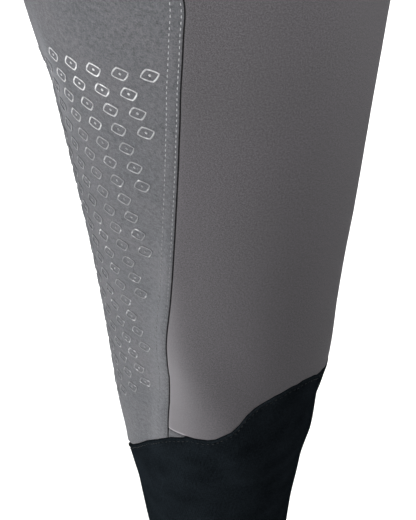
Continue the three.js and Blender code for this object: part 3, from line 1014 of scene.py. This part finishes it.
class BREECHES_OT_waistband(bpy.types.Operator):
    """Make the waistband, whose end passes behind its start as the underlap"""

    bl_idname = "breeches.waistband"
    bl_label = "Waistband"

    COLUMNS = 260
    EDGE_ROWS = (0, 0.4, 0.9, 1.6, 2.4, 3.2, 4.2, 6)
    MIDDLE_ROWS = (-12, -18, -24, -30)
    # Where the end starts to bend in, over how many degrees, and the room it leaves behind the start
    BEND_FROM, BEND_OVER, ROOM_BEHIND = FRONT_ANGLE - 360 + 4, 5, 0.3

    def execute(self, context):
        thickness = in_mm(sizes().band_cloth)
        radius = leg_radius(np.array(0.0))
        gap = math.degrees(SEAM_GAP / 2 / radius)
        under = math.degrees(in_mm(sizes().underlap) / radius)
        angle = np.linspace(FRONT_ANGLE - 360 - under, FRONT_ANGLE - gap, self.COLUMNS)[:, None]
        heights = [-step for step in self.EDGE_ROWS]
        heights += [*self.MIDDLE_ROWS, *(BAND_BOTTOM_Z + step for step in reversed(self.EDGE_ROWS))]
        z = np.array(heights, float)[None, :] + 0 * angle
        angle = angle + 0 * z
        edge = np.minimum(-z, z - BAND_BOTTOM_Z)
        start = (FRONT_ANGLE - gap - angle) * math.radians(radius)
        raised = edge_height(BAND_EDGE, edge) + edge_height(PLAIN_EDGE, start)
        behind = ramp(-angle, -self.BEND_FROM, self.BEND_OVER)
        inwards = behind * behind * (3 - 2 * behind) * (thickness + SEAM_GAP + self.ROOM_BEHIND)
        cloth_sheet(
            "waistband_cloth", "shell_cloth",
            cloth_point("left", angle, z, raised - inwards, past_middle=True),
            cloth_point("left", angle, z, -thickness - inwards, past_middle=True),
            grain_of(angle, z, 0), np.minimum(edge, 5) + 1,
            "waistband", "stretched", ["front_left", "front_right"],
        )
        return {"FINISHED"}


class BREECHES_OT_fly_shield(bpy.types.Operator):
    """Make the strip of cloth behind the fly"""

    bl_idname = "breeches.fly_shield"
    bl_label = "Fly shield"

    COLUMNS, ROWS = 16, 40
    ROOM_BEHIND, THICKNESS = 0.9, 1.5

    def execute(self, context):
        low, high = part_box("fly_shield")
        x = np.linspace(in_mm(low[0]), in_mm(high[0]), self.COLUMNS)[:, None]
        z = np.linspace(SHIELD_TOP_Z, SHIELD_BOTTOM_Z, self.ROWS)[None, :] + 0 * x
        x = x + 0 * z
        angle = angle_at(np.abs(x), z)
        clear = in_mm(sizes().shell_cloth) + self.ROOM_BEHIND
        layers = []
        for depth in (clear, clear + self.THICKNESS):
            layer = smooth_point(angle, z) - outward_at(angle, z) * depth
            layer[..., 0] = x
            layers.append(layer)
        cloth_sheet(
            "fly_shield_cloth", "shell_cloth", *layers, np.stack([x, z, 0 * z], -1),
            np.full(x.shape, FAR_FROM_SEAM), "fly_shield", "hung", ["waistband"],
        )
        return {"FINISHED"}


class BREECHES_OT_button(bpy.types.Operator):
    """Make the waist button with its dish, four holes and crossed thread"""

    bl_idname = "breeches.button"
    bl_label = "Waist button"

    THICKNESS, DISH_DEPTH, ROUNDING = 3.0 * MM, 0.8 * MM, 0.3 * MM
    RIM_SHARE, SLOPE_SHARE = 0.18, 0.12
    HOLE_RADIUS, HOLE_OFFSET = 0.75 * MM, 1.6 * MM
    # Half length, half width and half height of a bar of thread, and how far its middle is above the button's
    BAR, BAR_HEIGHT = (2.6, 0.45, 0.35), 0.85

    def execute(self, context):
        low, high = (Vector(corner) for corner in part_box("button"))
        centre = (low + high) / 2
        across = in_mm(centre.x)
        z = np.array(in_mm(centre.z))
        out = Vector(outward_at(angle_at(abs(across), z), z))
        out.x *= math.copysign(1, across)
        seat = Matrix.Translation(centre) @ out.to_track_quat("Z", "Y").to_matrix().to_4x4()
        button = self.dished_disc(context)
        self.pierce(context, button)
        self.round_off(button)
        button.data.transform(seat)
        button.data.materials.append(finish_of("button_resin"))
        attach(button, "root")
        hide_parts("button")
        self.sew_on(seat)
        return {"FINISHED"}

    def dished_disc(self, context):
        radius = sizes().button_radius
        bpy.ops.object.select_all(action="DESELECT")
        bpy.ops.mesh.primitive_cylinder_add(vertices=48, radius=radius, depth=self.THICKNESS)
        button = context.object
        button.name = "waist_button"
        bpy.ops.object.mode_set(mode="EDIT")
        bpy.ops.mesh.select_all(action="DESELECT")
        bpy.ops.object.mode_set(mode="OBJECT")
        for face in button.data.polygons:
            face.select = face.normal.z > 0.9
        bpy.ops.object.mode_set(mode="EDIT")
        bpy.ops.mesh.inset(thickness=radius * self.RIM_SHARE)
        bpy.ops.mesh.inset(thickness=radius * self.SLOPE_SHARE, depth=-self.DISH_DEPTH)
        bpy.ops.object.mode_set(mode="OBJECT")
        return button

    def pierce(self, context, button):
        """Cuts the four holes for the thread."""
        for x in (-self.HOLE_OFFSET, self.HOLE_OFFSET):
            for y in (-self.HOLE_OFFSET, self.HOLE_OFFSET):
                bpy.ops.mesh.primitive_cylinder_add(
                    vertices=16, radius=self.HOLE_RADIUS, depth=8 * MM, location=(x, y, 0)
                )
                hole = context.object
                cut = button.modifiers.new("hole", "BOOLEAN")
                cut.object = hole
                cut.operation = "DIFFERENCE"
                context.view_layer.objects.active = button
                bpy.ops.object.modifier_apply(modifier="hole")
                bpy.data.objects.remove(hole)

    def round_off(self, button):
        bevel = button.modifiers.new("round", "BEVEL")
        bevel.width = self.ROUNDING
        bevel.segments = 2
        bevel.limit_method = "ANGLE"
        bpy.ops.object.modifier_apply(modifier="round")
        bpy.ops.object.select_all(action="DESELECT")
        button.select_set(True)
        bpy.ops.object.shade_smooth_by_angle(angle=math.radians(35))

    def sew_on(self, seat):
        """Two crossed bars of thread over the button's dish."""
        points, faces = small_form(bpy.ops.mesh.primitive_uv_sphere_add, segments=8, ring_count=8, radius=1)
        x, y, up = (points[:, [2, 0, 1]] * self.BAR).T
        laid = []
        for turn in (math.radians(45), math.radians(135)):
            bar = np.stack([*rotated(x, y, turn), up + self.BAR_HEIGHT], -1)
            laid.append((np.array([seat @ Vector(p * MM) for p in bar]) / MM, faces))
        join_forms("button_thread", laid, "dark_thread")


class BREECHES_OT_grip_marks(bpy.types.Operator):
    """Lay the silicone lozenges on the grip panels"""

    bl_idname = "breeches.grip_marks"
    bl_label = "Silicone grip marks"

    # Rows of (angle, z): where the print starts and ends
    TOP = ((-60, -452), (-20, -448), (20, -440), (43, -426), (65, -416), (80, -412))
    BOTTOM = ((-60, -686), (-20, -690), (20, -680), (45, -658), (66, -634))
    # Slant of the rows in degrees, and room beside the panel's seams
    ROW_SLANT, SIDE_MARGIN = 14, 14
    # Rows and columns to try. Those inside the print are kept.
    SPARE_ROWS_ABOVE, SPARE_ROWS_BELOW, COLUMNS = 12, 16, (-30, 8)
    # How round a lozenge's sides are, and the half width, half height and lift of its bead
    ROUNDNESS, BEAD_WIDTH, BEAD_HEIGHT, LIFT = 1.25, 0.42, 0.26, 0.08
    DROP = (0.7, 0.7, 0.34)

    def lozenge(self):
        """An open lozenge of a round bead, with a drop in its middle."""
        half_width = in_mm(sizes().mark_width) / 2
        half_height = in_mm(sizes().mark_height) / 2
        tube = 0.1
        ring, ring_faces = small_form(
            bpy.ops.mesh.primitive_torus_add,
            major_segments=20, minor_segments=6, major_radius=1, minor_radius=tube,
        )
        turn = np.arctan2(ring[:, 1], ring[:, 0])
        bead = (np.hypot(ring[:, 0], ring[:, 1]) - 1) / tube * self.BEAD_WIDTH
        round_by = self.ROUNDNESS
        pull = (np.abs(np.cos(turn)) ** round_by + np.abs(np.sin(turn)) ** round_by) ** (-1 / round_by)
        x = np.cos(turn) * (half_width * pull + bead)
        y = np.sin(turn) * (half_height * pull + bead)
        ring = np.stack([x, y, ring[:, 2] / tube * self.BEAD_HEIGHT + self.LIFT], -1)
        drop, drop_faces = small_form(
            bpy.ops.mesh.primitive_uv_sphere_add, segments=8, ring_count=6, radius=1
        )
        faces = ring_faces + [tuple(c + len(ring) for c in face) for face in drop_faces]
        return np.concatenate([ring, drop * self.DROP]), faces

    def places(self):
        """Angles and heights of the marks, in slanting rows like bricks."""
        top, bottom = (np.array(edge, float).T for edge in (self.TOP, self.BOTTOM))
        row_step = (top[1].max() - bottom[1].min()) / sizes().mark_rows
        slant = math.radians(self.ROW_SLANT)
        kept = []
        for row in range(-self.SPARE_ROWS_ABOVE, sizes().mark_rows + self.SPARE_ROWS_BELOW):
            for column in range(*self.COLUMNS):
                along = (column + row % 2 / 2) * in_mm(sizes().mark_spacing)
                round_it = along * math.cos(slant) - row * row_step * math.sin(slant)
                z = np.array(top[1, -1] - 2 + along * math.sin(slant) - row * row_step * math.cos(slant))
                front = front_seam(z) - as_angle(self.SIDE_MARGIN, z)
                back = back_seam(z) + as_angle(self.SIDE_MARGIN, z)
                angle = front + as_angle(round_it, z)
                if back < angle <= front and np.interp(angle, *bottom) < z < np.interp(angle, *top):
                    kept.append((angle, z))
        return np.array(kept).T

    def execute(self, context):
        form = self.lozenge()
        angle, z = self.places()
        lean = np.radians(np.interp(z, [-640, -420], [36, 24]))
        inner = ramp(angle, 34, 10)
        # The first rows are the least rubbed and carry the strongest painted highlight, the marks towards the
        # front most of all.
        highlight_and_gloss = 1.15 * bell(z, -422, 21) * (0.35 + 0.65 * bell(angle, 51, 9))
        highlight_and_gloss += 0.3 * bell(z, -440, 52) * (0.3 + 1.2 * scatter(np.arange(len(z)), 12.9898)) + 0.05
        highlight_and_gloss = np.clip(highlight_and_gloss * (0.2 + 0.8 * inner), 0, 1)
        size = len(form[0])
        # A few scattered beads get a painted glint: a lighter colour as well as gloss.
        glint = scatter(np.arange(len(z) * size) // 6, 78.233) > 0.93
        gloss = np.maximum(np.repeat(highlight_and_gloss, size), 0.85 * glint * np.repeat(inner, size))
        for leg in LEGS:
            laid = lay_on_cloth(form, leg, angle, z, lean, even_relief(0))
            marks = join_forms(f"grip_marks_{leg}", [laid], "grip_silicone")
            give_attribute(marks, "highlight_and_gloss", gloss)
        return {"FINISHED"}


class BREECHES_OT_stitches(bpy.types.Operator):
    """Sew the topstitching on the seams, the cuffs, the waistband and the fly"""

    bl_idname = "breeches.stitches"
    bl_label = "Topstitching"

    # Distances of the rows from the cuff's seam, from the hem and from the waistband's edges
    CUFF_INSET, HEM_INSET, BAND_INSET = 2.5, 9.4, 3
    # Top and end of the straight part of the fly's rows, drop of their curve, and their distances from x = 0
    FLY_TOP, FLY_CURVE_FROM, FLY_DROP, FLY_INSETS = -46, -140, 34, (30, 25.3)
    # The buttonhole: half length, half width, bars a side, and how far its middle is from the button's
    HALF_SLIT, SLIT_REACH, SLIT_BARS, SLIT_BESIDE = 10.5, 1.5, 34, 2

    def execute(self, context):
        form = stitch_form()
        pitch = in_mm(sizes().stitch_pitch)

        def row(leg, angle, z, relief, past_middle=False):
            return lay_on_cloth(form, leg, *even_steps(angle, z + 0 * angle, pitch), relief, past_middle)

        round_leg = np.linspace(0, 360, 1200)
        round_waist = np.linspace(FRONT_ANGLE - 359, FRONT_ANGLE - 1, 1500)
        for leg in LEGS:
            seams = [row(leg, angle, z, grip_relief) for angle, z in self.grip_rows()]
            join_forms(f"grip_stitches_{leg}", seams, "seam_thread")
            heights = (cuff_seam(round_leg) - self.CUFF_INSET, HEM_Z + self.HEM_INSET)
            laid = [row(leg, round_leg, z, cuff_relief) for z in heights]
            join_forms(f"cuff_stitches_{leg}", laid, "dark_thread")
        heights = (-self.BAND_INSET, BAND_BOTTOM_Z + self.BAND_INSET)
        laid = [row("left", round_waist, z, even_relief(0.25), past_middle=True) for z in heights]
        laid += [row("right", *self.fly_row(inset), even_relief(0.15)) for inset in self.FLY_INSETS]
        join_forms("body_stitches", laid, "seam_thread")
        join_forms("buttonhole_stitches", [self.buttonhole(form)], "dark_thread")
        return {"FINISHED"}

    def grip_rows(self):
        """Twin rows on both sides of a grip panel."""
        z = np.linspace(GUSSET_Z - 6, -750, 700)
        inset, gauge = in_mm(sizes().needle_inset), in_mm(sizes().needle_gauge)
        for edge, side in ((FRONT_SEAM, -1), (BACK_SEAM, 1)):
            for distance in (inset, inset + gauge):
                angle = smooth_curve(edge, z) + side * as_angle(distance, z)
                sewn = (z > shell_bottom(angle) + 2) & (z < crotch_seam(angle) - 2)
                yield angle[sewn], z[sewn]

    def fly_row(self, inset):
        """A curved row that holds the fly, on the wearer's right front."""
        straight = np.linspace(self.FLY_TOP, self.FLY_CURVE_FROM, 60)
        turn = np.linspace(0, math.pi / 2, 30)[1:]
        z = np.concatenate([straight, self.FLY_CURVE_FROM - self.FLY_DROP * np.sin(turn)])
        x = np.concatenate([inset + 0 * straight, inset * np.cos(turn) + 2 * np.sin(turn)])
        return angle_at(x, z), z

    def buttonhole(self, form):
        """Close bars of thread round the slit that the button comes through."""
        low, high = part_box("button")
        middle_x, z = in_mm(low[0] + high[0]) / 2, in_mm(low[2] + high[2]) / 2
        x = np.tile(np.linspace(-self.HALF_SLIT, self.HALF_SLIT, self.SLIT_BARS), 2)
        up = np.repeat([self.SLIT_REACH, -self.SLIT_REACH], self.SLIT_BARS)
        angle = angle_at(middle_x + x + self.SLIT_BESIDE, z)
        return lay_on_cloth(form, "left", angle, z + up, 0 * x, even_relief(0.05), past_middle=True)


class BREECHES_OT_stage(bpy.types.Operator):
    """Set the camera at the photograph's angle, the pale floor and the soft light"""

    bl_idname = "breeches.stage"
    bl_label = "Camera, floor and light"

    CAMERA_AT = (135, -645, -54)
    AZIMUTH, ELEVATION, ROLL = 1.9, 39.7, 4.9
    FOCAL_PX = 1551
    FRAME_LONG_SIDE_PX = 520

    FLOOR_SIZE, FLOOR_DROP = 14, 0.06
    WORLD_STRENGTH = 0.09
    # Rows of (name, place, what it points at, size, power), in metres and watts
    LAMPS = (
        ("low left", (-1.4, -1.15, -0.65), (0.14, -0.06, -0.45), 0.7, 58),
        ("right", (0.42, -0.22, -0.03), (0.14, -0.06, -0.35), 0.35, 4.6),
        ("floor behind", (-0.05, 0.85, 0.2), (0.12, 0.55, -0.97), 0.6, 21),
        ("back", (-0.35, 2.2, 0.7), (0, 0, -0.35), 1.2, 26),
        ("over the waist", (0, 0.02, 0.75), (0, 0.02, -0.3), 0.3, 6),
    )

    def execute(self, context):
        self.camera(context)
        self.floor()
        self.lights(context)
        return {"FINISHED"}

    def camera(self, context):
        azimuth, elevation, roll = (math.radians(a) for a in (self.AZIMUTH, self.ELEVATION, self.ROLL))
        forwards = math.cos(elevation)
        ahead = Vector((-math.sin(azimuth) * forwards, math.cos(azimuth) * forwards, -math.sin(elevation)))
        level = ahead.cross(Vector((0, 0, 1))).normalized()
        upright = level.cross(ahead)
        right = level * math.cos(roll) + upright * math.sin(roll)
        up = right.cross(ahead)
        data = bpy.data.cameras.new("camera")
        data.lens = data.sensor_width * self.FOCAL_PX / self.FRAME_LONG_SIDE_PX
        data.clip_start = 0.02
        camera = bpy.data.objects.new("camera", data)
        place = Matrix((right, up, -ahead)).transposed().to_4x4()
        camera.matrix_world = Matrix.Translation(Vector(self.CAMERA_AT) * MM) @ place
        context.scene.collection.objects.link(camera)
        context.scene.camera = camera

    def floor(self):
        bpy.ops.object.select_all(action="DESELECT")
        bpy.ops.mesh.primitive_plane_add(size=self.FLOOR_SIZE, location=(0, 0, HEM_Z * MM - self.FLOOR_DROP))
        floor = bpy.context.object
        floor.name = "floor"
        floor.data.materials.append(studio_floor())

    def lights(self, context):
        world = bpy.data.worlds.new("studio")
        world.use_nodes = True
        background = world.node_tree.nodes["Background"]
        background.inputs["Color"].default_value = (1, 1, 1, 1)
        background.inputs["Strength"].default_value = self.WORLD_STRENGTH
        context.scene.world = world
        context.scene.view_settings.view_transform = "Standard"
        for name, at, target, size, power in self.LAMPS:
            data = bpy.data.lights.new(name, "AREA")
            data.size = size
            data.energy = power
            lamp = bpy.data.objects.new(name, data)
            lamp.location = at
            lamp.visible_camera = False
            aim = Vector(target) - Vector(at)
            lamp.rotation_euler = aim.to_track_quat("-Z", "Y").to_euler()
            context.scene.collection.objects.link(lamp)


STEPS = (
    BREECHES_OT_stage,
    BREECHES_OT_panels,
    BREECHES_OT_corner_facings,
    BREECHES_OT_cuffs,
    BREECHES_OT_waistband,
    BREECHES_OT_fly_shield,
    BREECHES_OT_button,
    BREECHES_OT_grip_marks,
    BREECHES_OT_stitches,
)


class BREECHES_PT_sidebar(bpy.types.Panel):
    """Lists the steps that make the breeches, and their sizes and colours"""

    bl_idname = "BREECHES_PT_sidebar"
    bl_label = "Riding breeches"
    bl_space_type = "VIEW_3D"
    bl_region_type = "UI"
    bl_category = "Breeches"

    def draw(self, context):
        for step in STEPS:
            self.layout.operator(step.bl_idname)
        for group in (sizes(), colours()):
            for name in group.bl_rna.properties.keys():
                if name not in ("rna_type", "name"):
                    self.layout.prop(group, name)


CLASSES = (BREECHES_PG_sizes, BREECHES_PG_colours, *STEPS, BREECHES_PT_sidebar)


def register():
    for cls in CLASSES:
        bpy.utils.register_class(cls)
    bpy.types.Scene.breeches_sizes = PointerProperty(type=BREECHES_PG_sizes)
    bpy.types.Scene.breeches_colours = PointerProperty(type=BREECHES_PG_colours)


def unregister():
    del bpy.types.Scene.breeches_colours
    del bpy.types.Scene.breeches_sizes
    for cls in reversed(CLASSES):
        bpy.utils.unregister_class(cls)


def main():
    register()
    for step in STEPS:
        group, name = step.bl_idname.split(".")
        getattr(getattr(bpy.ops, group), name)()


if __name__ == "__main__":
    main()
